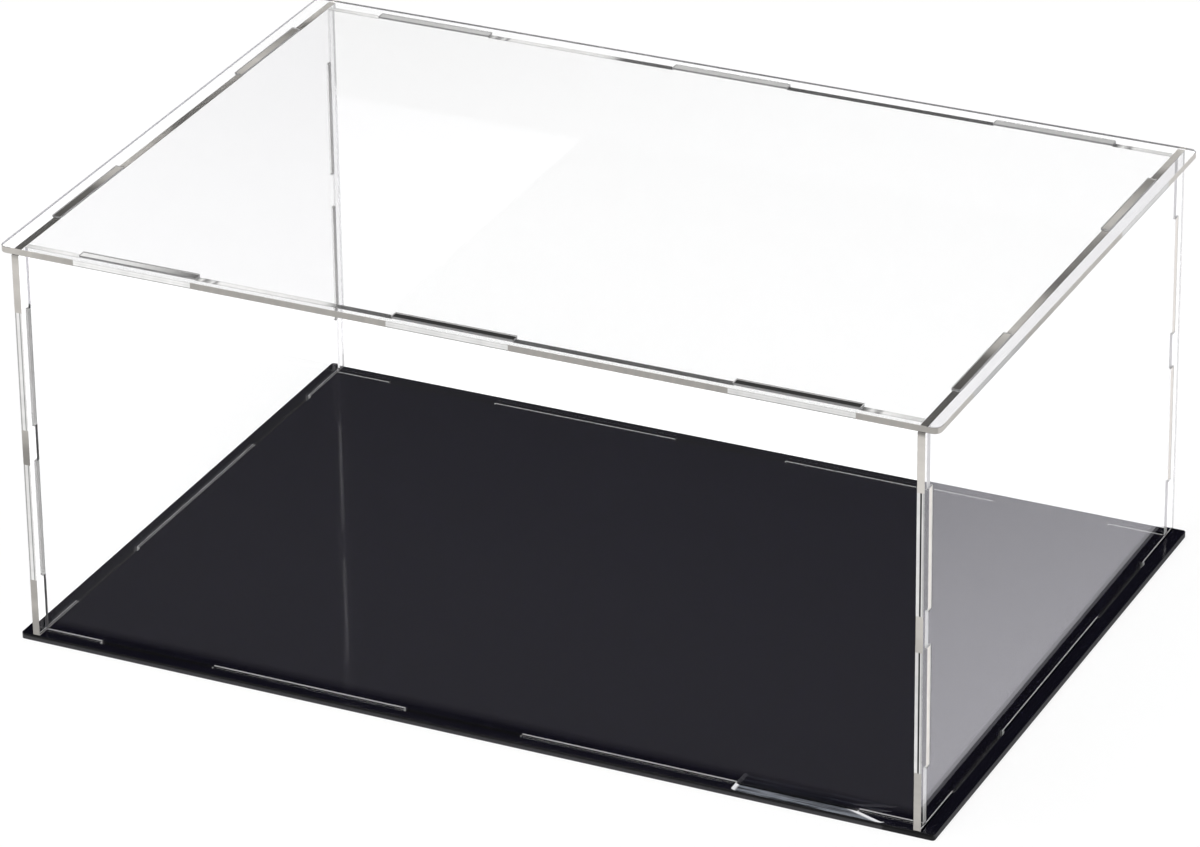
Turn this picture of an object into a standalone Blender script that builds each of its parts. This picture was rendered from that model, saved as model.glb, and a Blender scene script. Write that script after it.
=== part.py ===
"""Display case of six flat plates that lock together by tabs in slots.

The four clear walls stand on a black base and carry a clear top. Each wall has tabs on its lower
and upper edges, which pass through slots in the base and the top. The front and back walls also
have tabs on their ends, which pass through slots in the side walls.

Origin: centre of the base's underside. +X is to the right, -Y to the front and +Z up.
"""
import math

import bmesh
import bpy
from mathutils import Matrix, Vector

MM = 0.001

# Outer sizes of the assembled case
CASE_LENGTH = 450 * MM
CASE_DEPTH = 308 * MM
CASE_HEIGHT = 198 * MM

# Plates
BASE_THICKNESS = 3 * MM
TOP_THICKNESS = 3 * MM
WALL_THICKNESS = 3.5 * MM
BASE_CORNER_RADIUS = 0.8 * MM
TOP_CORNER_RADIUS = 3.5 * MM

# Distance of each wall's outer face from the edge of the base and the top
END_MARGIN = 6.3 * MM
FRONT_MARGIN = 5.7 * MM
BACK_MARGIN = 5.7 * MM

# Tabs: all have one length, and their places are measured from the edges of the case
TAB_LENGTH = 58 * MM
LONG_EDGE_TAB_INSET = 38 * MM
MIDDLE_TAB_SHIFT = -3.5 * MM
SHORT_EDGE_TAB_INSET = 38 * MM
UPRIGHT_TAB_SPACING = 18 * MM

# Clearance between plates that touch, and how far a cutter stands out of what it cuts
GAP = 0.3 * MM
CUT_OVERRUN = 1 * MM

# Straight pieces in each rounded corner
CORNER_STEPS = 6

HALF_LENGTH = CASE_LENGTH / 2
HALF_DEPTH = CASE_DEPTH / 2

# Middle planes of the walls
SIDE_WALL_X = HALF_LENGTH - END_MARGIN - WALL_THICKNESS / 2
FRONT_WALL_Y = -HALF_DEPTH + FRONT_MARGIN + WALL_THICKNESS / 2
BACK_WALL_Y = HALF_DEPTH - BACK_MARGIN - WALL_THICKNESS / 2

# Heights: the walls stand between the base and the top, with the clearance at each
TOP_UNDERSIDE_Z = CASE_HEIGHT - TOP_THICKNESS
WALL_MIDDLE_Z = (BASE_THICKNESS + TOP_UNDERSIDE_Z) / 2
WALL_HALF_HEIGHT = (TOP_UNDERSIDE_Z - BASE_THICKNESS) / 2 - GAP

# Half the length of the front and back walls, without the tabs on their ends
PANEL_HALF_LENGTH = SIDE_WALL_X - WALL_THICKNESS / 2 - GAP

# Middles of the tabs, from the middle of the wall that carries them
END_TAB_X = HALF_LENGTH - LONG_EDGE_TAB_INSET - TAB_LENGTH / 2
LONG_EDGE_TABS = (-END_TAB_X, MIDDLE_TAB_SHIFT, END_TAB_X)
SHORT_TAB_Y = HALF_DEPTH - SHORT_EDGE_TAB_INSET - TAB_LENGTH / 2
SHORT_EDGE_TABS = (-SHORT_TAB_Y, SHORT_TAB_Y)
UPRIGHT_TAB_Z = (UPRIGHT_TAB_SPACING + TAB_LENGTH) / 2
UPRIGHT_TABS = (-UPRIGHT_TAB_Z, UPRIGHT_TAB_Z)

# Slots take a tab with the clearance all round
SLOT_LENGTH = TAB_LENGTH + 2 * GAP
SLOT_WIDTH = WALL_THICKNESS + 2 * GAP

# Turns a plate drawn flat: upright and facing the front, or upright and facing the side
FACING_FRONT = (math.radians(90), 0, 0)
FACING_SIDE = (math.radians(90), 0, math.radians(90))

CLEAR_COLOUR = (0.94, 0.96, 0.97, 1)
BLACK_COLOUR = (0.02, 0.02, 0.024, 1)
ACRYLIC_IOR = 1.49
ACRYLIC_ROUGHNESS = 0.05


def clear_scene():
    """Remove the objects that the scene starts with."""
    for thing in list(bpy.data.objects):
        bpy.data.objects.remove(thing, do_unlink=True)


def acrylic(name, colour, transmission):
    """Glossy acrylic, clear or black."""
    material = bpy.data.materials.new(name)
    material.use_nodes = True
    shader = material.node_tree.nodes["Principled BSDF"]
    shader.inputs["Base Color"].default_value = colour
    shader.inputs["Roughness"].default_value = ACRYLIC_ROUGHNESS
    shader.inputs["Metallic"].default_value = 0
    shader.inputs["IOR"].default_value = ACRYLIC_IOR
    shader.inputs["Transmission Weight"].default_value = transmission
    return material


def rounded_rectangle(half_length, half_width, radius):
    """Outline with four round corners, counterclockwise."""
    corners = ((1, -1, -90), (1, 1, 0), (-1, 1, 90), (-1, -1, 180))
    points = []
    for side_x, side_y, first_degrees in corners:
        middle = Vector((side_x * (half_length - radius), side_y * (half_width - radius)))
        for step in range(CORNER_STEPS + 1):
            angle = math.radians(first_degrees + 90 * step / CORNER_STEPS)
            points.append(middle + radius * Vector((math.cos(angle), math.sin(angle))))
    return points


def tabbed_edge(start, end, tabs, reach):
    """Points of one edge up to its end, with a tab standing out at each place in tabs.

    The places are measured from the middle of the edge, towards its end.
    """
    along = (end - start).normalized()
    outward = Vector((along.y, -along.x))
    middle = (start + end) / 2
    points = [start]
    for place in tabs:
        near = middle + along * (place - TAB_LENGTH / 2)
        far = middle + along * (place + TAB_LENGTH / 2)
        points += [near, near + outward * reach, far + outward * reach, far]
    return points


def wall_outline(half_length, edge_tabs, end_tabs):
    """Outline of a wall: tabs on its lower and upper edges and, if it has any, on its ends."""
    low_left = Vector((-half_length, -WALL_HALF_HEIGHT))
    low_right = Vector((half_length, -WALL_HALF_HEIGHT))
    high_right = Vector((half_length, WALL_HALF_HEIGHT))
    high_left = Vector((-half_length, WALL_HALF_HEIGHT))
    edge_tabs_back = [-place for place in reversed(edge_tabs)]
    points = tabbed_edge(low_left, low_right, edge_tabs, BASE_THICKNESS)
    points += tabbed_edge(low_right, high_right, end_tabs, WALL_THICKNESS)
    points += tabbed_edge(high_right, high_left, edge_tabs_back, TOP_THICKNESS)
    points += tabbed_edge(high_left, low_left, end_tabs, WALL_THICKNESS)
    return points


def cut_slots(plate, thickness, slots):
    """Cut a row of rectangular slots, each given as its middle and its two side lengths."""
    mesh = bpy.data.meshes.new(plate.name + "_slots")
    shape = bmesh.new()
    for middle_x, middle_y, size_x, size_y in slots:
        place = Matrix.Translation((middle_x, middle_y, 0))
        sides = Matrix.Diagonal((size_x, size_y, thickness + 2 * CUT_OVERRUN, 1))
        bmesh.ops.create_cube(shape, size=1, matrix=place @ sides)
    shape.to_mesh(mesh)
    shape.free()
    cutter = bpy.data.objects.new(mesh.name, mesh)
    bpy.context.collection.objects.link(cutter)
    cutter.parent = plate
    cutter.hide_render = True
    cutter.display_type = "WIRE"
    cut = plate.modifiers.new("slots", "BOOLEAN")
    cut.operation = "DIFFERENCE"
    cut.solver = "EXACT"
    cut.object = cutter


def flat_plate(name, outline, thickness, material, carrier, place, turn=(0, 0, 0), slots=()):
    """One plate: an outline given its thickness, stood in its place on its carrier."""
    mesh = bpy.data.meshes.new(name)
    shape = bmesh.new()
    corners = [shape.verts.new((point.x, point.y, -thickness / 2)) for point in outline]
    underside = shape.faces.new(corners)
    raised = bmesh.ops.extrude_face_region(shape, geom=[underside])["geom"]
    raised_corners = [item for item in raised if isinstance(item, bmesh.types.BMVert)]
    bmesh.ops.translate(shape, verts=raised_corners, vec=(0, 0, thickness))
    bmesh.ops.recalc_face_normals(shape, faces=shape.faces)
    shape.to_mesh(mesh)
    shape.free()
    plate = bpy.data.objects.new(name, mesh)
    bpy.context.collection.objects.link(plate)
    mesh.materials.append(material)
    plate.parent = carrier
    plate.location = Vector(place) - carrier.location
    plate.rotation_euler = turn
    if slots:
        cut_slots(plate, thickness, slots)
    return plate


def holder(name, height):
    """Empty on the case's upright middle line, which carries the pieces that lift together."""
    empty = bpy.data.objects.new(name, None)
    bpy.context.collection.objects.link(empty)
    empty.location = (0, 0, height)
    return empty


def wall_slots():
    """Slots of the base and the top, one for each tab of the four walls."""
    slots = []
    for wall_y in (FRONT_WALL_Y, BACK_WALL_Y):
        slots += [(tab_x, wall_y, SLOT_LENGTH, SLOT_WIDTH) for tab_x in LONG_EDGE_TABS]
    for wall_x in (-SIDE_WALL_X, SIDE_WALL_X):
        slots += [(wall_x, tab_y, SLOT_WIDTH, SLOT_LENGTH) for tab_y in SHORT_EDGE_TABS]
    return slots


def side_wall_slots():
    """Slots of a side wall, one for each end tab of the front and back walls."""
    slots = []
    for wall_y in (FRONT_WALL_Y, BACK_WALL_Y):
        slots += [(wall_y, tab_z, SLOT_WIDTH, SLOT_LENGTH) for tab_z in UPRIGHT_TABS]
    return slots


def build_base(case):
    """Black plate that the walls stand on."""
    outline = rounded_rectangle(HALF_LENGTH, HALF_DEPTH, BASE_CORNER_RADIUS)
    material = acrylic("base_black", BLACK_COLOUR, 0)
    middle = (0, 0, BASE_THICKNESS / 2)
    flat_plate("base_plate", outline, BASE_THICKNESS, material, case, middle, slots=wall_slots())


def build_front_and_back(cover):
    """Two long walls between the side walls, with tabs on all four edges."""
    outline = wall_outline(PANEL_HALF_LENGTH, LONG_EDGE_TABS, UPRIGHT_TABS)
    for name, wall_y in (("front_wall", FRONT_WALL_Y), ("back_wall", BACK_WALL_Y)):
        material = acrylic(name + "_clear", CLEAR_COLOUR, 1)
        middle = (0, wall_y, WALL_MIDDLE_Z)
        flat_plate(name, outline, WALL_THICKNESS, material, cover, middle, FACING_FRONT)


def build_sides(cover):
    """Two short walls, as deep as the base, with slots for the ends of the long walls."""
    outline = wall_outline(HALF_DEPTH, SHORT_EDGE_TABS, ())
    for name, wall_x in (("left_wall", -SIDE_WALL_X), ("right_wall", SIDE_WALL_X)):
        material = acrylic(name + "_clear", CLEAR_COLOUR, 1)
        middle = (wall_x, 0, WALL_MIDDLE_Z)
        flat_plate(name, outline, WALL_THICKNESS, material, cover, middle, FACING_SIDE,
                   side_wall_slots())


def build_top(lid):
    """Clear plate that lies on the walls, with their upper tabs in its slots."""
    outline = rounded_rectangle(HALF_LENGTH, HALF_DEPTH, TOP_CORNER_RADIUS)
    material = acrylic("top_clear", CLEAR_COLOUR, 1)
    middle = (0, 0, TOP_UNDERSIDE_Z + TOP_THICKNESS / 2)
    flat_plate("top_plate", outline, TOP_THICKNESS, material, lid, middle, slots=wall_slots())


def main():
    """Build the case from the base up."""
    clear_scene()
    build_base(holder("case", 0))
    cover = holder("cover", BASE_THICKNESS)
    build_front_and_back(cover)
    build_sides(cover)
    build_top(holder("lid", TOP_UNDERSIDE_Z))


main()
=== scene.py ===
"""Countertop display case: four clear walls and a clear top on a black base, held by tabs in slots.

+X is to the right along the case, -Y to the front and +Z up; the base stands on z = 0.
"""
import math

import bmesh
import bpy
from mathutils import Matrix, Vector


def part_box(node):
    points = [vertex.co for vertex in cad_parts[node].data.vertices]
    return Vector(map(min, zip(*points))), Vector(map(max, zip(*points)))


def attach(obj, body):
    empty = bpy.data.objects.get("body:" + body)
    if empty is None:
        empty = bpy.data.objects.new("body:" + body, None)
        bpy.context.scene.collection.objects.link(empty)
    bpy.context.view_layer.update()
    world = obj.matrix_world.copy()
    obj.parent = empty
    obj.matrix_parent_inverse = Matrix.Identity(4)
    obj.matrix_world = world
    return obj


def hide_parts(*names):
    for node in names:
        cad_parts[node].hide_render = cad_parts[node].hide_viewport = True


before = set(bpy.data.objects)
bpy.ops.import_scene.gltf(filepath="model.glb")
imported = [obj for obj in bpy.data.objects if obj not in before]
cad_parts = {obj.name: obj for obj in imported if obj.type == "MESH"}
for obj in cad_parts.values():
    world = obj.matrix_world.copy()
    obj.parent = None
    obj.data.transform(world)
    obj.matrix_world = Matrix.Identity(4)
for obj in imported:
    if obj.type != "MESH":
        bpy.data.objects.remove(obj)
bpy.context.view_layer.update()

MM = 0.001
X, Y, Z = 0, 1, 2

# Sizes that the walls, the base and the top share
WALL = 3.5 * MM
GAP = 0.3 * MM
HALF_TAB = 29 * MM
HALF_SLOT = HALF_TAB + GAP
ARRIS = 0.12 * MM
BASE_RADIUS = 1.4 * MM
TOP_RADIUS = 3.5 * MM

LONG_TABS = (-158 * MM, -3.5 * MM, 158 * MM)
SHORT_TABS = (-87 * MM, 87 * MM)
UPRIGHT_TABS = (61 * MM, 137 * MM)

BASE_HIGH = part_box("base_plate")[1]
TOP_LOW, TOP_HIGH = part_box("top_plate")
FRONT_LOW, FRONT_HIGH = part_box("front_wall")
RIGHT_LOW, RIGHT_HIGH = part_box("right_wall")
FRONT_Y = (FRONT_LOW.y + FRONT_HIGH.y) / 2
SIDE_X = (RIGHT_LOW.x + RIGHT_HIGH.x) / 2
SLOT_HALF_WIDTH = WALL / 2 + GAP
BODY_BOTTOM = BASE_HIGH.z + GAP
BODY_TOP = TOP_LOW.z - GAP


# ---------------------------------------------------------------- shader nodes

class Wire:
    """An output of a material's nodes. Sums and products on it add their own Math nodes."""

    def __init__(self, tree, socket):
        self.tree, self.socket = tree, socket

    def _with(self, operation, other, first=True):
        pair = (self, other) if first else (other, self)
        return add_node(self.tree, "ShaderNodeMath", {"operation": operation}, dict(enumerate(pair)))[0]

    def __add__(self, other):
        return self._with("ADD", other)

    def __radd__(self, other):
        return self._with("ADD", other, False)

    def __sub__(self, other):
        return self._with("SUBTRACT", other)

    def __rsub__(self, other):
        return self._with("SUBTRACT", other, False)

    def __mul__(self, other):
        return self._with("MULTIPLY", other)

    def __rmul__(self, other):
        return self._with("MULTIPLY", other, False)

    def __truediv__(self, other):
        return self._with("DIVIDE", other)

    def __pow__(self, other):
        return self._with("POWER", other)

    def __gt__(self, other):
        return self._with("GREATER_THAN", other)

    def __lt__(self, other):
        return self._with("LESS_THAN", other)

    def __abs__(self):
        return add_node(self.tree, "ShaderNodeMath", {"operation": "ABSOLUTE"}, {0: self})[0]


def add_node(tree, kind, settings=None, values=None):
    """Add one node: its settings first, then its inputs' values or links. Gives its outputs."""
    node = tree.nodes.new(kind)
    for name, value in (settings or {}).items():
        if name == "stops":
            ramp = node.color_ramp
            for place, colour in value[1:-1]:
                ramp.elements.new(place).color = colour
            ramp.elements[0].color, ramp.elements[-1].color = value[0][1], value[-1][1]
        else:
            setattr(node, name, value)
    for name, value in (values or {}).items():
        socket = node.inputs[name]
        if isinstance(value, Wire):
            tree.links.new(value.socket, socket)
        else:
            socket.default_value = value
    return Outputs(tree, node)


class Outputs:
    """The outputs of one node, each found by its name or its number."""

    def __init__(self, tree, node):
        self.tree, self.node = tree, node

    def __getitem__(self, name):
        return Wire(self.tree, self.node.outputs[name])


def new_material(name):
    """An empty material. Gives it with its node tree."""
    material = bpy.data.materials.new(name)
    material.use_nodes = True
    material.node_tree.nodes.clear()
    return material, material.node_tree


def show(tree, surface):
    """Join a shader to the material's output."""
    add_node(tree, "ShaderNodeOutputMaterial", {}, {"Surface": surface})


def place_on(tree):
    """Object coordinates, which are metres in the case's own frame."""
    return add_node(tree, "ShaderNodeTexCoord")["Object"]


def axes_of(tree, point):
    """The three coordinates of a point."""
    parts = add_node(tree, "ShaderNodeSeparateXYZ", {}, {"Vector": point})
    return parts["X"], parts["Y"], parts["Z"]


def stretched(tree, point, scale):
    """A point with each of its coordinates scaled."""
    return add_node(tree, "ShaderNodeMapping", {"vector_type": "POINT"},
                    {"Vector": point, "Scale": scale})["Vector"]


def noise(tree, point, scale, detail=3, roughness=0.5):
    """Cloudy pattern from 0 to 1."""
    return add_node(tree, "ShaderNodeTexNoise", {"noise_dimensions": "3D"},
                    {"Vector": point, "Scale": scale, "Detail": detail, "Roughness": roughness})["Fac"]


def spots(tree, point, scale):
    """Distance to the nearest of many scattered points, in the pattern's own cells."""
    return add_node(tree, "ShaderNodeTexVoronoi", {"feature": "F1", "voronoi_dimensions": "3D"},
                    {"Vector": point, "Scale": scale, "Randomness": 1})


def ease(tree, value, start, end, low=0, high=1):
    """Smooth step of a value between two places."""
    values = {"Value": value, "From Min": start, "From Max": end, "To Min": low, "To Max": high}
    smooth = {"interpolation_type": "SMOOTHSTEP", "clamp": True}
    return add_node(tree, "ShaderNodeMapRange", smooth, values)["Result"]


def graded(tree, value, stops):
    """Grey that changes along a line. The stops are places in millimetres, each with its grey."""
    start, end = stops[0][0], stops[-1][0]
    marks = [((place - start) / (end - start), (grey, grey, grey, 1)) for place, grey in stops]
    where = (value - start * MM) / ((end - start) * MM)
    return add_node(tree, "ShaderNodeValToRGB", {"stops": marks}, {"Fac": where})["Color"]


def blend_colour(tree, factor, first, second):
    """Mix of two colours."""
    node = add_node(tree, "ShaderNodeMix", {"data_type": "RGBA", "blend_type": "MIX"})
    for place, value in ((0, factor), (6, first), (7, second)):
        if isinstance(value, Wire):
            tree.links.new(value.socket, node.node.inputs[place])
        else:
            node.node.inputs[place].default_value = value
    return Wire(tree, node.node.outputs[2])


def bumped(tree, height, strength, distance):
    """A normal raised by a height pattern, in metres."""
    values = {"Height": height, "Strength": strength, "Distance": distance}
    return add_node(tree, "ShaderNodeBump", {}, values)["Normal"]


def plastic(tree, **values):
    """Principled shader. Underscores in the names stand for spaces."""
    named = {name.replace("_", " "): value for name, value in values.items()}
    return add_node(tree, "ShaderNodeBsdfPrincipled", {}, named)["BSDF"]


def mix_of(tree, factor, first, second):
    """Mix of two shaders."""
    node = add_node(tree, "ShaderNodeMixShader", {}, {0: factor})
    tree.links.new(first.socket, node.node.inputs[1])
    tree.links.new(second.socket, node.node.inputs[2])
    return node[0]


# ---------------------------------------------------------------- finishes

ACRYLIC_IOR = 1.49
CLEAR_TINT = (0.992, 0.992, 0.992, 1)
LIGHT_THROUGH = (0.88, 0.88, 0.88, 1)


def clear_face(name):
    """Polished face of a clear plate, with faint wipe marks and a very slight wave."""
    material, tree = new_material(name)
    here = place_on(tree)
    wipes = ease(tree, noise(tree, stretched(tree, here, (1, 1, 2.2)), 11, 4, 0.6), 0.56, 0.8)
    wave = noise(tree, here, 7, 1)
    glass = plastic(tree, Base_Color=CLEAR_TINT, Transmission_Weight=1, IOR=ACRYLIC_IOR,
                    Roughness=wipes * 0.035, Normal=bumped(tree, wave, 0.1, 0.0004))
    through = add_node(tree, "ShaderNodeBsdfTransparent", {}, {"Color": LIGHT_THROUGH})["BSDF"]
    ray = add_node(tree, "ShaderNodeLightPath")
    show(tree, mix_of(tree, ray["Is Shadow Ray"], glass, through))
    return material


WARM = (1, 0.955, 0.895, 1)
NEUTRAL = (1, 0.995, 0.985, 1)
BLACK = (0, 0, 0, 1)
EVEN = [(-300, 1), (300, 1)]


def cut_edge(name, thin, along, tones, lines=EVEN, tint=WARM, milk=(0.22, 0.75), finish=0.38, shut=None,
             sheer=0):
    """Laser-cut edge of a clear plate: frosted by fine lines straight across its thickness.

    thin is the axis that the plate is thin along and along is the way that the edge runs. tones
    are greys along the edge, and lines are greys across it, at distances from the case's middle;
    both are painted light and shade: the light the clear edge carries through its plate, the black
    base it shows, and the glints and dark lines at its arrises. From inside the plate the edge is a
    mirror that is partly milky, which milk gives as a share and a grey, set edge by edge to paint
    how light or dark it looks; shut is the part of its thickness, in the same way as lines, that is
    painted black as shade, and sheer the share of what lies behind that shows plainly.
    """
    material, tree = new_material(name)
    here = place_on(tree)
    places = axes_of(tree, here)
    depth = abs(places[thin]) if thin != Z else places[thin]
    across = [1.0, 1.0, 1.0]
    across[thin] = 0.04
    fine = noise(tree, stretched(tree, here, across), 2600, 2, 0.7)
    bands = noise(tree, stretched(tree, here, across), 170, 3, 0.65)
    # painted light and shade: graded greys along and across the edge; the bands are the cut's own fine lines
    tone = graded(tree, places[along], tones) * (0.84 + bands * 0.32)
    if lines is not EVEN:
        tone = tone * graded(tree, depth, lines)
    frosted = plastic(tree, Base_Color=blend_colour(tree, tone, BLACK, tint), Roughness=finish + fine * 0.25,
                      IOR=ACRYLIC_IOR, Normal=bumped(tree, fine, 0.5, 0.00008))
    mirror = plastic(tree, Base_Color=CLEAR_TINT, Transmission_Weight=1, IOR=ACRYLIC_IOR, Roughness=0.02)
    share, grey = milk
    milky = add_node(tree, "ShaderNodeBsdfDiffuse", {}, {"Color": (grey, grey, grey * 0.99, 1)})["BSDF"]
    inside = mix_of(tree, share, mirror, milky)
    if sheer:
        plain = add_node(tree, "ShaderNodeBsdfTransparent", {}, {"Color": (0.96, 0.96, 0.96, 1)})["BSDF"]
        inside = mix_of(tree, sheer, inside, plain)
    # painted shade: a black diffuse where the edge shows only the dark gap and the black base
    if shut:
        dark = add_node(tree, "ShaderNodeBsdfDiffuse", {}, {"Color": (0.004, 0.004, 0.005, 1)})["BSDF"]
        inside = mix_of(tree, graded(tree, depth, shut), inside, dark)
    side = add_node(tree, "ShaderNodeNewGeometry")["Backfacing"]
    show(tree, mix_of(tree, side, frosted, inside))
    return material


def black_face(name):
    """Polished black acrylic with faint wipe marks and a few specks of dust."""
    material, tree = new_material(name)
    here = place_on(tree)
    wipes = ease(tree, noise(tree, stretched(tree, here, (1, 2.4, 1)), 14, 4, 0.62), 0.5, 0.85)
    fine = noise(tree, here, 900, 2)
    cell = spots(tree, here, 55)
    size = add_node(tree, "ShaderNodeSeparateColor", {}, {"Color": cell["Color"]})["Red"]
    dust = (cell["Distance"] < (ease(tree, size, 0.86, 1, 0, 0.02)))
    colour = blend_colour(tree, dust, (0.0024, 0.0022, 0.0047, 1), (0.3, 0.3, 0.29, 1))
    shader = plastic(tree, Base_Color=colour, Roughness=0.035 + wipes * 0.05 + dust * 0.4 + fine * 0.01,
                     IOR=ACRYLIC_IOR, Normal=bumped(tree, noise(tree, here, 8, 1), 0.08, 0.0004))
    show(tree, shader)
    return material


def black_edge(name):
    """Laser-cut edge of the black base: satin, with fine upright lines."""
    material, tree = new_material(name)
    here = place_on(tree)
    lines = noise(tree, stretched(tree, here, (1, 1, 0.04)), 2400, 2, 0.7)
    bands = noise(tree, stretched(tree, here, (1, 1, 0.04)), 120, 3, 0.6)
    colour = blend_colour(tree, bands, (0.003, 0.003, 0.0032, 1), (0.012, 0.012, 0.0125, 1))
    shader = plastic(tree, Base_Color=colour, Roughness=0.14 + lines * 0.12, IOR=ACRYLIC_IOR,
                     Normal=bumped(tree, lines, 0.4, 0.00006))
    show(tree, shader)
    return material


# ---------------------------------------------------------------- plates

def nothing_selected():
    """Leave edit mode and let go of everything."""
    if bpy.context.object and bpy.context.object.mode != "OBJECT":
        bpy.ops.object.mode_set(mode="OBJECT")
    bpy.ops.object.select_all(action="DESELECT")


def blank(name, low, high, thin):
    """A flat sheet on the low side of a plate's place."""
    nothing_selected()
    turn = {X: (0, math.pi / 2, 0), Y: (math.pi / 2, 0, 0), Z: (0, 0, 0)}[thin]
    middle = (Vector(low) + Vector(high)) / 2
    middle[thin] = low[thin]
    bpy.ops.mesh.primitive_plane_add(size=1, location=middle, rotation=turn)
    sheet = bpy.context.object
    sheet.name = sheet.data.name = name
    bpy.ops.object.transform_apply(location=False, rotation=True, scale=True)
    size = Vector(high) - Vector(low)
    size[thin] = 1
    sheet.scale = size
    bpy.ops.object.transform_apply(location=True, rotation=False, scale=True)
    return sheet


def in_any(point, rectangles, thin):
    """True where a point lies in one of the rectangles of the plate's own plane."""
    u, v = [axis for axis in (X, Y, Z) if axis != thin]
    return any(low_u < point[u] < high_u and low_v < point[v] < high_v
               for low_u, high_u, low_v, high_v in rectangles)


def cut_out(sheet, rectangles, thin, low, high):
    """Cut straight lines along the rectangles' sides and take the faces in them away."""
    u, v = [axis for axis in (X, Y, Z) if axis != thin]
    bpy.ops.object.mode_set(mode="EDIT")
    for axis, first in ((u, 0), (v, 2)):
        places = sorted({round(r[first + side], 7) for r in rectangles for side in (0, 1)})
        for place in places:
            if low[axis] + 1e-6 < place < high[axis] - 1e-6:
                point, normal = [0, 0, 0], [0, 0, 0]
                point[axis], normal[axis] = place, 1
                bpy.ops.mesh.select_all(action="SELECT")
                bpy.ops.mesh.bisect(plane_co=point, plane_no=normal)
    bpy.ops.mesh.select_mode(type="FACE")
    bpy.ops.mesh.select_all(action="DESELECT")
    shape = bmesh.from_edit_mesh(sheet.data)
    for face in shape.faces:
        face.select_set(in_any(face.calc_center_median(), rectangles, thin))
    bmesh.update_edit_mesh(sheet.data)
    bpy.ops.mesh.delete(type="FACE")


def thicken(sheet, thin, thickness):
    """Pull the sheet out to its thickness."""
    bpy.ops.mesh.select_all(action="SELECT")
    pull = [0, 0, 0]
    pull[thin] = thickness
    bpy.ops.mesh.extrude_region_move(TRANSFORM_OT_translate={"value": pull})
    bpy.ops.mesh.select_all(action="SELECT")
    bpy.ops.mesh.normals_make_consistent(inside=False)


def round_corners(sheet, low, high, radius):
    """Round the four upright edges at a flat plate's corners."""
    bpy.ops.mesh.select_mode(type="EDGE")
    bpy.ops.mesh.select_all(action="DESELECT")
    shape = bmesh.from_edit_mesh(sheet.data)
    for edge in shape.edges:
        a, b = (vert.co for vert in edge.verts)
        upright = abs(a.z - b.z) > MM
        at_end = min(abs(a.x - low.x), abs(a.x - high.x)) < 1e-6
        at_side = min(abs(a.y - low.y), abs(a.y - high.y)) < 1e-6
        edge.select_set(upright and at_end and at_side)
    bmesh.update_edit_mesh(sheet.data)
    bpy.ops.mesh.bevel(offset=radius, segments=8, affect="EDGES")


def give_finishes(sheet, finishes, choose):
    """Put the finishes in the plate's slots and each face in the one that choose names."""
    bpy.ops.object.mode_set(mode="OBJECT")
    names = list(finishes)
    for name in names:
        sheet.data.materials.append(finishes[name])
    for face in sheet.data.polygons:
        face.material_index = names.index(choose(face.center, face.normal))


def break_arrises(sheet):
    """Take the sharpness off every edge."""
    bevel = sheet.modifiers.new("arris", "BEVEL")
    bevel.width = ARRIS
    bevel.segments = 1
    bevel.limit_method = "ANGLE"
    bevel.angle_limit = math.radians(40)
    bpy.ops.object.modifier_apply(modifier=bevel.name)
    bpy.ops.object.shade_smooth_by_angle(angle=math.radians(20))


def plate(name, node, thin, rectangles, finishes, choose, radius=0):
    """One plate, cut from its blank and finished, in the place of its CAD node."""
    low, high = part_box(node)
    sheet = blank(name, low, high, thin)
    cut_out(sheet, rectangles, thin, low, high)
    thicken(sheet, thin, high[thin] - low[thin])
    if radius:
        round_corners(sheet, low, high, radius)
    give_finishes(sheet, finishes, choose)
    break_arrises(sheet)
    return sheet


def flat_slots():
    """Slots of the base and the top."""
    found = []
    for y in (FRONT_Y, -FRONT_Y):
        found += [(x - HALF_SLOT, x + HALF_SLOT, y - SLOT_HALF_WIDTH, y + SLOT_HALF_WIDTH)
                  for x in LONG_TABS]
    for x in (-SIDE_X, SIDE_X):
        found += [(x - SLOT_HALF_WIDTH, x + SLOT_HALF_WIDTH, y - HALF_SLOT, y + HALF_SLOT)
                  for y in SHORT_TABS]
    return found


def between(low, high, tabs):
    """The stretches from low to high that hold no tab."""
    ends = [low] + [tab + side * HALF_TAB for tab in tabs for side in (-1, 1)] + [high]
    return list(zip(ends[::2], ends[1::2]))


def edge_strips(low, high, axis, tabs):
    """What is cut away between the tabs of a wall's lower and upper edges."""
    found = []
    for start, end in between(low[axis], high[axis], tabs):
        found.append((start, end, low.z - 1, BODY_BOTTOM))
        found.append((start, end, BODY_TOP, high.z + 1))
    return found


def end_strips(low, high):
    """What is cut away between the tabs on the ends of the front and back walls."""
    panel = SIDE_X - WALL / 2 - GAP
    found = []
    for start, end in between(low.z, high.z, UPRIGHT_TABS):
        found.append((low.x - 1, -panel, start, end))
        found.append((panel, high.x + 1, start, end))
    return found


def by_tab(place, tabs):
    """True beside one of the tabs."""
    return any(abs(place - tab) < HALF_SLOT for tab in tabs)


def make_base():
    """Black plate that everything stands on."""
    finishes = {"face": black_face("black acrylic, polished"), "edge": black_edge("black acrylic, cut edge")}
    choose = lambda spot, normal: "face" if abs(normal.z) > 0.5 else "edge"
    base = plate("black_base", "base_plate", Z, flat_slots(), finishes, choose, BASE_RADIUS)
    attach(base, "base")
    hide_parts("base_plate")


CLEAR = clear_face("clear acrylic, polished")
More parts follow.
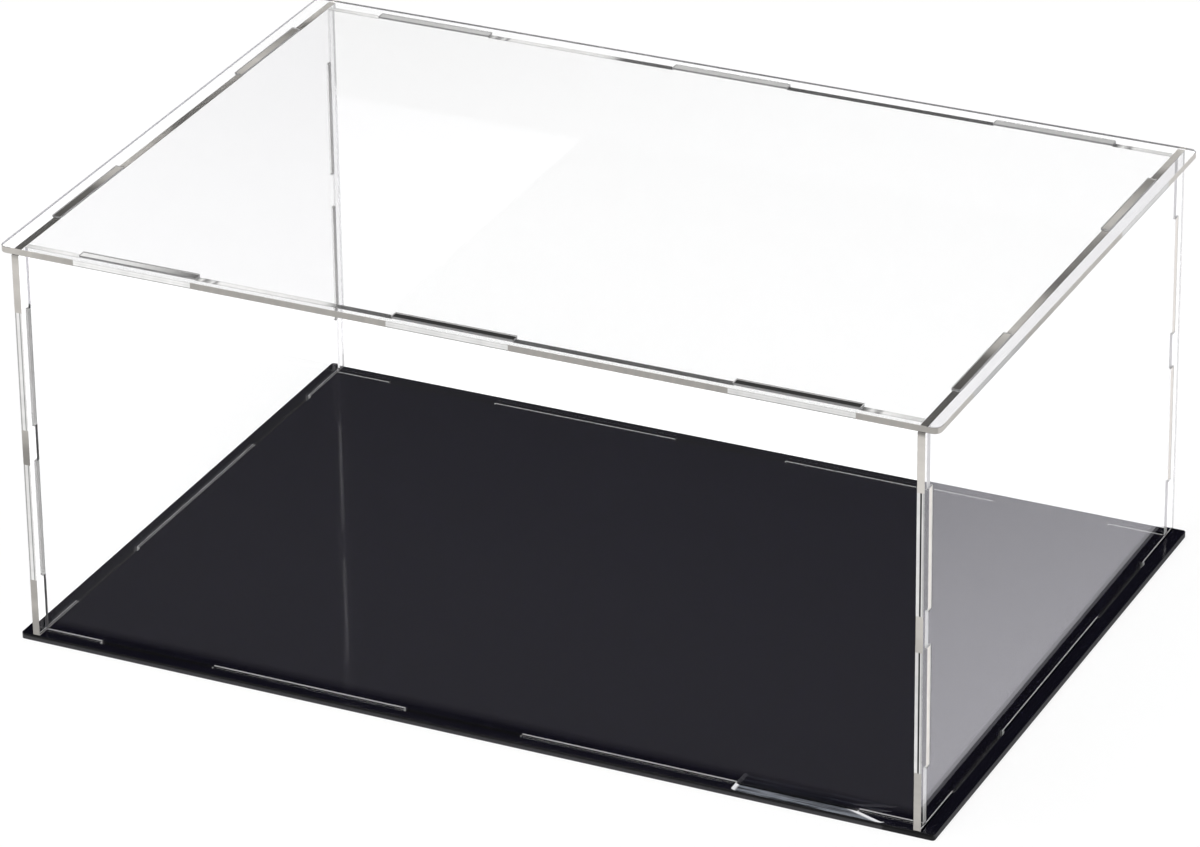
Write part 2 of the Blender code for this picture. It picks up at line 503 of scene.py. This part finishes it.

# Painted light and shade of the cut edges: greys along the edges, at millimetres from the middle of the case or
# above its underside, and greys across them (the LINES tables). They stand for the light each clear edge carries
# and shows: near-white beside the slots, dark where it shows the black base or lies under the top, and the
# glints and dark lines at its arrises
LEFT_END = [(0, 0.34), (11, 0.37), (19, 0.44), (28, 0.41), (90, 0.27), (98, 0.30), (101, 0.37), (107, 0.47),
            (166, 0.55), (187, 0.60), (193, 0.57), (194, 0.40), (198, 0.35)]
RIGHT_END = [(0, 0.44), (11, 0.50), (28, 0.51), (90, 0.50), (107, 0.58), (166, 0.70), (187, 0.64), (192.5, 0.60),
             (194, 0.20), (198, 0.15)]
END_BY_SLOT = [(30, 0.90), (60, 0.82), (90, 0.78), (107, 0.84), (166, 0.88)]
LEFT_LINES = [(215.2, 1), (215.7, 1), (215.95, 0.38), (216.3, 0.38), (216.5, 1), (217.8, 1), (218.05, 0.4),
              (218.35, 0.4), (218.5, 0.9), (218.7, 0.9)]
RIGHT_LINES = [(215.2, 0.95), (216.7, 0.9), (216.8, 0.02), (217.5, 0.02), (217.6, 0.95), (217.95, 0.95),
               (218.1, 0.6), (218.7, 0.6)]
LONG_UPPER = [(-225, 0.6), (-195, 0.88), (-129, 0.8), (-127.5, 0.12), (-126.5, 0.8), (-125, 0.12), (-124, 0.85),
              (-122.5, 0.15), (-121.5, 0.88), (-119.5, 0.25), (-118.5, 0.9), (-66, 0.8), (-59, 0.12), (25, 0.09),
              (60, 0.085), (129, 0.10), (186, 0.8), (188, 0.1), (189, 0.8), (190.5, 0.12), (191.5, 0.85),
              (195, 0.2), (196, 0.85), (225, 0.6)]
DOUBLE_LINE = [(144.8, 0.68), (145.2, 0.68), (145.4, 1), (147.7, 1), (147.9, 0.72), (148.3, 0.72)]
FRONT_TAB_TOPS = [(-188, 0.75), (-160, 0.62), (-142, 0.36), (-129, 0.12), (-33, 0.022), (188, 0.022)]
BACK_TAB_TOPS = [(-188, 0.5), (188, 0.44)]
SHORT_UPPER = [(-154, 0.10), (-118, 0.085), (-116, 0.07), (-84, 0.11), (-72, 0.33), (-60, 0.42), (-50, 0.50),
               (-30, 0.43), (-18, 0.35), (-8, 0.20), (0, 0.14), (12, 0.17), (30, 0.20), (50, 0.28), (62, 0.42),
               (75, 0.45), (90, 0.38), (110, 0.22), (124, 0.20), (132, 0.48), (154, 0.52)]
TOP_LONG_EDGE = [(-225, 0.55), (-207, 0.50), (-190, 0.43), (-129, 0.385), (-33, 0.395), (25, 0.385), (129, 0.36),
                 (187, 0.38), (225, 0.40)]
TOP_LONG_BY_SLOT = [(-187, 0.95), (-129, 0.92), (-33, 0.82), (25, 0.82), (129, 0.76), (187, 0.78)]
TOP_SLOT_LINES = [(195, 0.4), (195.35, 0.4), (195.55, 1), (196.35, 1), (196.5, 0.82), (196.65, 1), (197.55, 1),
                  (197.75, 0.75), (198, 0.75)]
TOP_SHORT_EDGE = [(-154, 0.57), (-118, 0.54), (-56, 0.47), (-30, 0.47), (-12, 0.54), (50, 0.54), (118, 0.68),
                  (154, 0.62)]
TOP_SHORT_BY_SLOT = [(-116, 0.56), (-75, 0.54), (-58, 0.45), (58, 0.80), (116, 0.76)]


FOOT_OPEN_SHARE = 0.34


def shut_outside(inner, outer):
    """Where a wall's foot is painted black as shade, seen from inside the wall: all but the part near its inner
    face.
    """
    edge = inner + FOOT_OPEN_SHARE * (outer - inner)
    return [(inner, 0), (edge - 0.1, 0), (edge + 0.1, 1), (outer, 1)]


def long_wall_finishes(name, tab_tops, end_milk, sheer):
    """Finishes of the front or the back wall, with painted light and shade in their greys: light ends and tab
    ends, near-white glints at the tab sides, dark feet and tab feet, and the greys of the upper edge and tab
    tops.
    """
    # painted light: near-white greys for the ends and the tab sides, the tab sides standing for small glints
    white = [(0, 0.95), (198, 0.95)]
    return {
        "face": CLEAR,
        "end": cut_edge(name + ", cut end", Y, Z, white, tint=NEUTRAL, milk=end_milk, sheer=sheer),
        "tab end": cut_edge(name + ", tab end", Y, Z, [(0, 0.90), (198, 0.95)], milk=(0.9, 0.95), finish=0.3,
                            sheer=0.25 + 0.7 * sheer),
        "tab side": cut_edge(name + ", tab side", Y, Z, white, tint=NEUTRAL, milk=(0.85, 0.95), finish=0.3,
                             sheer=sheer),
        "upper": cut_edge(name + ", upper edge", Y, X, LONG_UPPER, DOUBLE_LINE, NEUTRAL),
        "tab top": cut_edge(name + ", tab top", Y, X, tab_tops, tint=NEUTRAL, finish=0.3),
        # painted shade: dark feet and tab feet, black from inside, where they show the gap and the black base
        "foot": cut_edge(name + ", foot", Y, X, [(-225, 0.1), (225, 0.1)], milk=(0.5, 0.85),
                         shut=shut_outside(144.8, 148.3)),
        "tab foot": cut_edge(name + ", tab foot", Y, X, [(-225, 0.05), (225, 0.05)], milk=(0.9, 0.01)),
    }


def short_wall_finishes(name, end, lines):
    """Finishes of the left or the right wall, with painted light and shade in their greys: light ends,
    near-white ends beside the slots and slot faces, glints at the tab sides, dark feet, and the greys of the
    upper edges and tab tops.
    """
    # painted light: near-white slot faces and tab sides, the tab sides standing for small glints
    white = [(-154, 0.95), (154, 0.95)]
    return {
        "face": CLEAR,
        "end": cut_edge(name + ", cut end", X, Z, end, sheer=0.5),
        "end by slot": cut_edge(name + ", end by a slot", X, Z, END_BY_SLOT, lines, NEUTRAL, finish=0.25,
                                sheer=0.5),
        "slot": cut_edge(name + ", slot", X, Y, white, tint=NEUTRAL, milk=(0.65, 0.85), finish=0.3,
                         sheer=0.85),
        "tab side": cut_edge(name + ", tab side", X, Y, white, tint=NEUTRAL, milk=(0.85, 0.95),
                             finish=0.3),
        "upper": cut_edge(name + ", upper edge", X, Y, SHORT_UPPER),
        "tab top": cut_edge(name + ", tab top", X, Y, SHORT_UPPER, finish=0.3),
        # painted shade: dark feet and tab feet, black from inside, where they show the gap and the black base
        "foot": cut_edge(name + ", foot", X, Y, [(-154, 0.1), (154, 0.1)], milk=(0.5, 0.85),
                         shut=shut_outside(215.2, 218.7)),
        "tab foot": cut_edge(name + ", tab foot", X, Y, [(-154, 0.05), (154, 0.05)], milk=(0.9, 0.01)),
    }


def top_finishes():
    """Finishes of the top, with painted light and shade in the greys of its edges: near-white beside the slots,
    with light and dark lines across them.
    """
    return {
        "face": CLEAR,
        "long edge": cut_edge("top, long edge", Z, X, TOP_LONG_EDGE),
        # painted light: near-white edge beside each slot, with painted light and dark lines across it
        "long edge by slot": cut_edge("top, long edge by a slot", Z, X, TOP_LONG_BY_SLOT, TOP_SLOT_LINES,
                                      NEUTRAL, finish=0.25),
        "short edge": cut_edge("top, short edge", Z, Y, TOP_SHORT_EDGE),
        "short edge by slot": cut_edge("top, short edge by a slot", Z, Y, TOP_SHORT_BY_SLOT, TOP_SLOT_LINES,
                                       NEUTRAL, finish=0.25),
        "slot": cut_edge("top, slot", Z, X, [(-225, 0.7), (225, 0.7)], tint=NEUTRAL, milk=(0.7, 0.5),
                         finish=0.3),
    }


def flat_run(spot, normal):
    """Finish of an edge that faces up or down, or None."""
    if abs(normal.z) < 0.5:
        return None
    by_top, by_foot = spot.z > BODY_TOP + 1 * MM, spot.z < BODY_BOTTOM - 1 * MM
    if normal.z > 0 and spot.z > BODY_TOP - 1 * MM:
        return "tab top" if by_top else "upper"
    if normal.z < 0 and spot.z < BODY_BOTTOM + 1 * MM:
        return "tab foot" if by_foot else "foot"
    return None


def long_wall_edge(spot, normal):
    """Finish of each face of the front and back walls."""
    if abs(normal.y) > 0.5:
        return "face"
    run = flat_run(spot, normal)
    if run:
        return run
    if abs(normal.x) > 0.5 and abs(spot.x) > FRONT_HIGH.x - 0.5 * MM:
        return "tab end"
    at_end = abs(normal.x) > 0.5 and abs(spot.x) > SIDE_X - 3 * MM
    return "end" if at_end else "tab side"


def short_wall_edge(spot, normal):
    """Finish of each face of the left and right walls."""
    if abs(normal.x) > 0.5:
        return "face"
    run = flat_run(spot, normal)
    if run:
        return run
    if abs(spot.y) > 153 * MM:
        return "end by slot" if by_tab(spot.z, UPRIGHT_TABS) else "end"
    inside = BODY_BOTTOM + 1 * MM < spot.z < BODY_TOP - 1 * MM
    return "slot" if inside else "tab side"


def top_edge(spot, normal):
    """Finish of each face of the top."""
    if abs(normal.z) > 0.5:
        return "face"
    if abs(spot.y) > 153 * MM or abs(spot.x) > 224 * MM:
        long_way = abs(normal.y) > abs(normal.x)
        beside = by_tab(spot.x, LONG_TABS) if long_way else by_tab(spot.y, SHORT_TABS)
        return ("long edge" if long_way else "short edge") + (" by slot" if beside else "")
    at_corner = abs(spot.x) > TOP_HIGH.x - TOP_RADIUS and abs(spot.y) > TOP_HIGH.y - TOP_RADIUS
    return "short edge" if at_corner else "slot"


def make_walls():
    """Front, back, left and right walls."""
    for name, node, words, tab_tops, milk, sheer in (
            # The front and back walls are the same acrylic: their different tab tops, milk and sheer paint the
            # light and shade that each one shows
            ("front_panel", "front_wall", "clear front wall", FRONT_TAB_TOPS, (0.14, 0.75), 0),
            ("back_panel", "back_wall", "clear back wall", BACK_TAB_TOPS, (0.75, 0.9), 0.85)):
        low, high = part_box(node)
        gone = edge_strips(low, high, X, LONG_TABS) + end_strips(low, high)
        wall = plate(name, node, Y, gone, long_wall_finishes(words, tab_tops, milk, sheer), long_wall_edge)
        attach(wall, "walls")
        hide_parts(node)
    for name, node, words, end, lines in (
            ("left_panel", "left_wall", "clear left wall", LEFT_END, LEFT_LINES),
            ("right_panel", "right_wall", "clear right wall", RIGHT_END, RIGHT_LINES)):
        low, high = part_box(node)
        gone = edge_strips(low, high, Y, SHORT_TABS)
        gone += [(y - SLOT_HALF_WIDTH, y + SLOT_HALF_WIDTH, z - HALF_SLOT, z + HALF_SLOT)
                 for y in (FRONT_Y, -FRONT_Y) for z in UPRIGHT_TABS]
        wall = plate(name, node, X, gone, short_wall_finishes(words, end, lines), short_wall_edge)
        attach(wall, "walls")
        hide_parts(node)


def make_top():
    """Clear plate on top of the walls."""
    top = plate("clear_top", "top_plate", Z, flat_slots(), top_finishes(), top_edge, TOP_RADIUS)
    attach(top, "top")
    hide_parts("top_plate")


# The film's size and place, a point and the direction of its slanting right end, and how far its
# white torn parts reach from that slant and from the left end
FILM_LENGTH, FILM_WIDTH, FILM_THICKNESS = 73 * MM, 5.1 * MM, 0.08 * MM
FILM_PLACE = (165.5 * MM, -151.2 * MM, BASE_HIGH.z + 0.1 * MM)
FILM_END = Vector((187 * MM, -148.5 * MM, 0))
FILM_SLANT = Vector((0.33, 0.944, 0))
TORN_RIGHT = (-2.3 * MM, -1.2 * MM)
TORN_LEFT = (130.6 * MM, 131.8 * MM)
TORN_RAGGED = 0.8 * MM
CURL = ((34.5 * MM, 0.3 * MM), (35.5 * MM, 0.35 * MM), (36.2 * MM, 0.4 * MM))
CURL_BACK = 0.25 * MM
RIPPLE_HEIGHT, RIPPLE_SIZE = 0.25 * MM, 4 * MM


def film_look():
    """Thin bluish film with creases along it, and white where it is crumpled at its ends."""
    material, tree = new_material("torn protective film")
    here = place_on(tree)
    streaks = noise(tree, stretched(tree, here, (0.03, 1, 1)), 850, 3, 0.6)
    specks = ease(tree, noise(tree, here, 1500, 2, 0.6), 0.62, 0.72)
    x, y, _ = axes_of(tree, here)
    slant = (x - FILM_END.x) * FILM_SLANT.x + (y - FILM_END.y) * FILM_SLANT.y
    torn = ease(tree, slant + specks * TORN_RAGGED, *TORN_RIGHT) + ease(tree, x, *TORN_LEFT, 1, 0)
    tone = ease(tree, streaks, 0.42, 0.6) + specks * 0.3
    sheet = blend_colour(tree, tone, (0.008, 0.010, 0.014, 1), (0.18, 0.195, 0.225, 1))
    colour = blend_colour(tree, torn, sheet, (0.78, 0.78, 0.80, 1))
    show(tree, plastic(tree, Base_Color=colour, Roughness=0.32 + streaks * 0.2, IOR=1.45,
                       Normal=bumped(tree, streaks, 0.5, 0.00015)))
    return material


def move_ends(sheet, reach, shift):
    """Move the points of a strip that lie beyond reach from its middle, on both ends."""
    for side in (-1, 1):
        bpy.ops.mesh.select_all(action="DESELECT")
        shape = bmesh.from_edit_mesh(sheet.data)
        for vert in shape.verts:
            vert.select_set(side * (vert.co.x - FILM_PLACE[0]) > reach)
        shape.select_flush(True)
        bmesh.update_edit_mesh(sheet.data)
        bpy.ops.transform.translate(value=(side * shift[0], shift[1], shift[2]))


def make_film():
    """Torn strip of protective film, left lying on the base's front margin beside the third tab."""
    nothing_selected()
    bpy.ops.mesh.primitive_grid_add(x_subdivisions=60, y_subdivisions=6, size=1, location=FILM_PLACE)
    film = bpy.context.object
    film.name = film.data.name = "film_scrap"
    film.scale = (FILM_LENGTH, FILM_WIDTH, 1)
    bpy.ops.object.transform_apply(location=True, rotation=False, scale=True)
    bpy.ops.object.mode_set(mode="EDIT")
    bpy.ops.mesh.select_mode(type="VERT")
    for reach, lift in CURL:
        move_ends(film, reach, (-CURL_BACK, 0, lift))
    bpy.ops.mesh.select_all(action="SELECT")
    bpy.ops.mesh.bisect(plane_co=FILM_END, plane_no=FILM_SLANT, clear_outer=True)
    bpy.ops.object.mode_set(mode="OBJECT")
    crease = bpy.data.textures.new("creases", "CLOUDS")
    crease.noise_scale = RIPPLE_SIZE
    ripple = film.modifiers.new("ripple", "DISPLACE")
    ripple.texture, ripple.texture_coords = crease, "LOCAL"
    ripple.strength, ripple.mid_level = RIPPLE_HEIGHT, 0.3
    bpy.ops.object.modifier_apply(modifier=ripple.name)
    solid = film.modifiers.new("thickness", "SOLIDIFY")
    solid.thickness, solid.offset = FILM_THICKNESS, 1
    bpy.ops.object.modifier_apply(modifier=solid.name)
    bpy.ops.object.shade_smooth_by_angle(angle=math.radians(40))
    film.data.materials.append(film_look())
    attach(film, "base")


# ---------------------------------------------------------------- floor, light and camera

FLOOR_SIZE = 30
STRAIGHT = 1.45
FLOOR_LIT, BACKDROP_LIT = 0.8, 0.85
FLOOR_MATT = 0.18
WHITE, MIRRORED_TINT = (1, 1, 1, 1), (1, 0.985, 1.055, 1)
FRONT_LINE = -0.157
# Place of the painted shade on the mirrored floor beside the right wall's foot
FOOT_START, FOOT_END, FOOT_BACK = 0.2, 0.2285, 0.158
# Middle of the painted shade patch on the floor seen through the plates, and how much it darkens
CORNER_X, CORNER_Y, CORNER_SHADE = -0.42, 0.58, 0.08
LAMP_PLACE, LAMP_AIM, LAMP_SIZE, LAMP_POWER = (-0.4, -0.7, 2.4), (0, 0, 0.1), 1.2, 24
CAMERA_PLACE = (1.1219478, -2.3704106, 1.4004124)
CAMERA_TURN = (63.957624, 1.152421, 26.028718)
CAMERA_LENS = 192.842
CAMERA_SHIFT = (0.1, -0.0554167)


def glow_seen(tree, straight, reflected, lit):
    """What a backdrop shows: white to the camera, and other tones through plates, mirrored and as light."""
    ray = add_node(tree, "ShaderNodeLightPath")
    mirrored = ray["Glossy Depth"] > 0.5
    spread = ray["Diffuse Depth"] > 0.5
    through = ray["Is Camera Ray"]
    direct = through + (1 - through) * straight
    seen = direct * (1 - mirrored) + reflected * mirrored
    return seen * (1 - spread) + spread * lit


def make_floor():
    """Plain pale floor that keeps the case's shadow.

    Mirrored in the plates it is darker in front of the case, with painted shade beside the right wall's foot and
    right in front of the base. Seen through the plates it has a painted shade patch behind and left of the case.
    """
    nothing_selected()
    bpy.ops.mesh.primitive_grid_add(x_subdivisions=4, y_subdivisions=4, size=FLOOR_SIZE)
    floor = bpy.context.object
    floor.name = floor.data.name = "floor"
    material, tree = new_material("pale floor")
    x, y, _ = axes_of(tree, place_on(tree))
    # painted shade: the mirrored floor is darker beside the right wall's foot
    by_foot = (x > FOOT_START) * (x < FOOT_END) * (y < FOOT_BACK)
    beside = ease(tree, y, -0.1, 0.3, 1.09, 0.76) * (1 - by_foot * 0.7)
    # painted shade: the mirrored floor goes nearly black right in front of the base, as a contact shadow
    before = ease(tree, y, -0.5, -0.2, 0.17, 0.215) * ease(tree, y, -0.163, -0.158, 1, 0.05)
    rear = y > FRONT_LINE
    tone = beside * rear + before * (1 - rear)
    # painted shade: a soft darker patch on the floor behind and left of the case, seen through the plates
    across, along = x - CORNER_X, y - CORNER_Y
    corner = ease(tree, (across * across + along * along) ** 0.5, 0.02, 0.34, 1, 0)
    strength = glow_seen(tree, STRAIGHT - corner * CORNER_SHADE, tone, FLOOR_LIT)
    mirrored = add_node(tree, "ShaderNodeLightPath")["Glossy Depth"] > 0.5
    colour = blend_colour(tree, mirrored, WHITE, MIRRORED_TINT)
    glow = add_node(tree, "ShaderNodeEmission", {}, {"Color": colour, "Strength": strength})["Emission"]
    matt = add_node(tree, "ShaderNodeBsdfDiffuse", {}, {"Color": (0.95, 0.95, 0.95, 1)})["BSDF"]
    show(tree, mix_of(tree, FLOOR_MATT * (1 - mirrored), glow, matt))
    floor.data.materials.append(material)


def make_world():
    """White backdrop, seen softly graded where it is mirrored, and an even fill."""
    world = bpy.data.worlds.new("studio")
    bpy.context.scene.world = world
    world.use_nodes = True
    tree = world.node_tree
    tree.nodes.clear()
    way = add_node(tree, "ShaderNodeTexCoord")["Generated"]
    z = axes_of(tree, way)[2]
    tone = ease(tree, z, 0.5, 0.95, 0.015, 0.4)
    strength = glow_seen(tree, STRAIGHT, tone, BACKDROP_LIT)
    values = {"Color": WHITE, "Strength": strength}
    back = add_node(tree, "ShaderNodeBackground", {}, values)["Background"]
    add_node(tree, "ShaderNodeOutputWorld", {}, {"Surface": back})


def make_lamp():
    """Soft square lamp overhead that points at the case."""
    light = bpy.data.lights.new("overhead lamp", "AREA")
    light.shape, light.size, light.energy = "SQUARE", LAMP_SIZE, LAMP_POWER
    lamp = bpy.data.objects.new("overhead lamp", light)
    bpy.context.scene.collection.objects.link(lamp)
    lamp.location = LAMP_PLACE
    lamp.rotation_euler = (Vector(LAMP_AIM) - Vector(LAMP_PLACE)).to_track_quat("-Z", "Y").to_euler()


def make_camera():
    """Camera at the photograph's viewing angle."""
    lens = bpy.data.cameras.new("camera")
    lens.sensor_width, lens.lens = 36, CAMERA_LENS
    lens.shift_x, lens.shift_y = CAMERA_SHIFT
    lens.clip_start = 0.05
    camera = bpy.data.objects.new("camera", lens)
    bpy.context.scene.collection.objects.link(camera)
    camera.location = CAMERA_PLACE
    camera.rotation_euler = [math.radians(turn) for turn in CAMERA_TURN]
    bpy.context.scene.camera = camera


make_camera()
make_base()
make_walls()
make_top()
make_film()
make_floor()
make_world()
make_lamp()
bpy.context.scene.view_settings.view_transform = "Standard"

nothing_selected()
